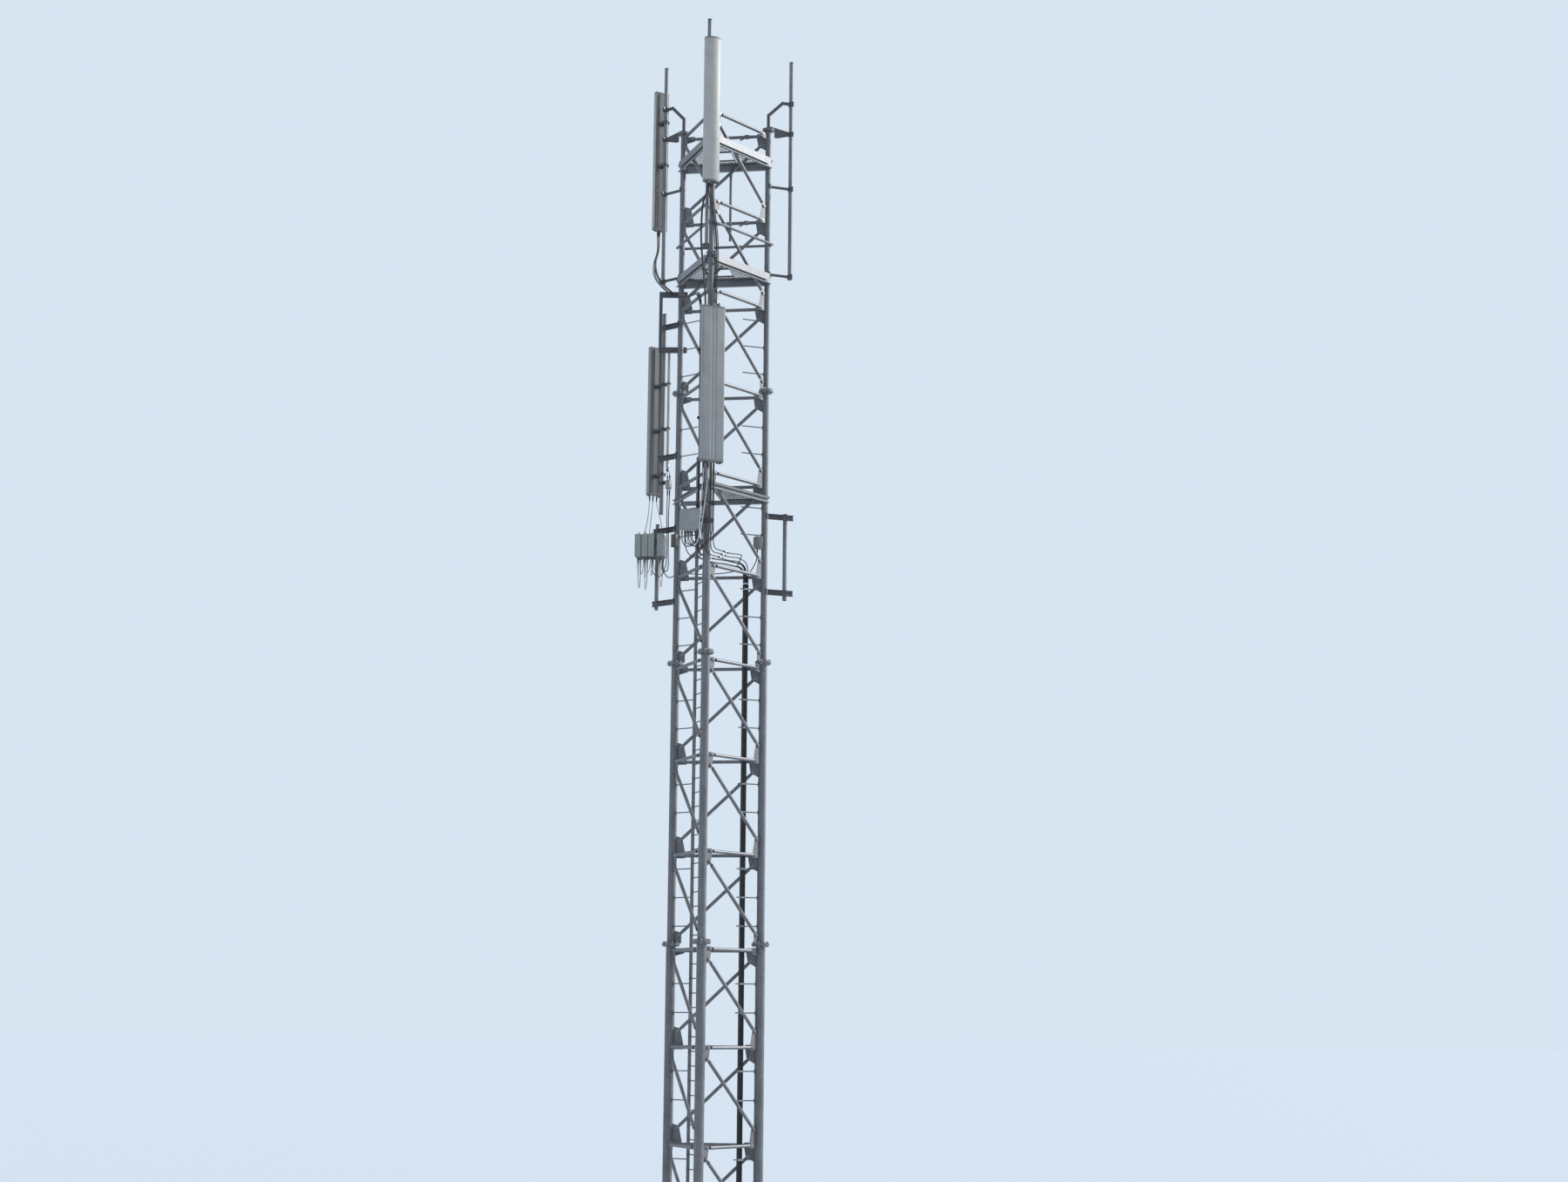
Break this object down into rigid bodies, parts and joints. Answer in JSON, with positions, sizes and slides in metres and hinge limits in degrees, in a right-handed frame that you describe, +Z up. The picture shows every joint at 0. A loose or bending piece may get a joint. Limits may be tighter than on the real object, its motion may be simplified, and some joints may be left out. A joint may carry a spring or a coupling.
{
  "type": "cell tower, triangular steel lattice, with panel antennas",
  "caption": "Triangular tubular steel lattice tower with platforms, ladder, antenna poles, panel antennas, radio units and feeder cables.",
  "frame": {"origin": "centre of the underside of the front leg's base plate", "axes": "+Z up the tower; -Y out past the front leg; +X from the left leg to the right leg"},
  "size_m": [2.8708, 2.729, 21.46],
  "materials": {
    "galvanised_tube": "weathered hot-dip galvanised steel tube, matt mid grey with faint spangle",
    "galvanised_brace": "weathered galvanised steel, slightly brighter than the legs",
    "galvanised_small": "weathered galvanised steel bar and tube",
    "galvanised_platform": "darker weathered galvanised steel of the platforms",
    "galvanised_pole": "weathered galvanised steel pipe",
    "galvanised_bracket": "dark weathered galvanised steel brackets and clamps",
    "antenna_case": "pale grey glass-fibre antenna case, matt",
    "radio_case": "pale grey powder coat",
    "cable_jacket": "black cable jacket, satin"
  },
  "bodies": {
    "root": {"leg_left_1": "galvanised_tube", "leg_left_2": "galvanised_tube", "leg_left_3": "galvanised_tube", "leg_left_4": "galvanised_tube", "leg_front_1": "galvanised_tube", "leg_front_2": "galvanised_tube", "leg_front_3": "galvanised_tube", "leg_front_4": "galvanised_tube", "leg_right_1": "galvanised_tube", "leg_right_2": "galvanised_tube", "leg_right_3": "galvanised_tube", "leg_right_4": "galvanised_tube", "bracing_left": "galvanised_brace", "bracing_right": "galvanised_brace", "bracing_back": "galvanised_brace", "ladder": "galvanised_small", "leg_brackets": "galvanised_small", "feeder_cables": "cable_jacket", "upper_platform_frame": "galvanised_platform", "upper_platform_grating": "galvanised_platform", "lower_platform_frame": "galvanised_platform", "lower_platform_grating": "galvanised_platform", "guard_rail": "galvanised_small", "landing_frame": "galvanised_platform", "landing_grating": "galvanised_platform", "top_arms_left": "galvanised_bracket", "top_arms_front": "galvanised_bracket", "top_arms_right": "galvanised_bracket", "top_pole_left": "galvanised_pole", "top_pole_front": "galvanised_pole", "top_pole_right": "galvanised_pole", "lower_poles": "galvanised_pole", "lower_arms_left": "galvanised_bracket", "lower_arms_front": "galvanised_bracket", "lower_arms_right": "galvanised_bracket", "empty_bracket": "galvanised_bracket", "antenna_upper_front": "antenna_case", "antenna_upper_left": "antenna_case", "antenna_lower_front": "antenna_case", "antenna_lower_left": "antenna_case", "antenna_slim_left": "antenna_case", "antenna_brackets": "galvanised_bracket", "radio_units": "radio_case", "radio_boxes": "radio_case", "jumper_cables": "cable_jacket"}
  },
  "joints": []
}
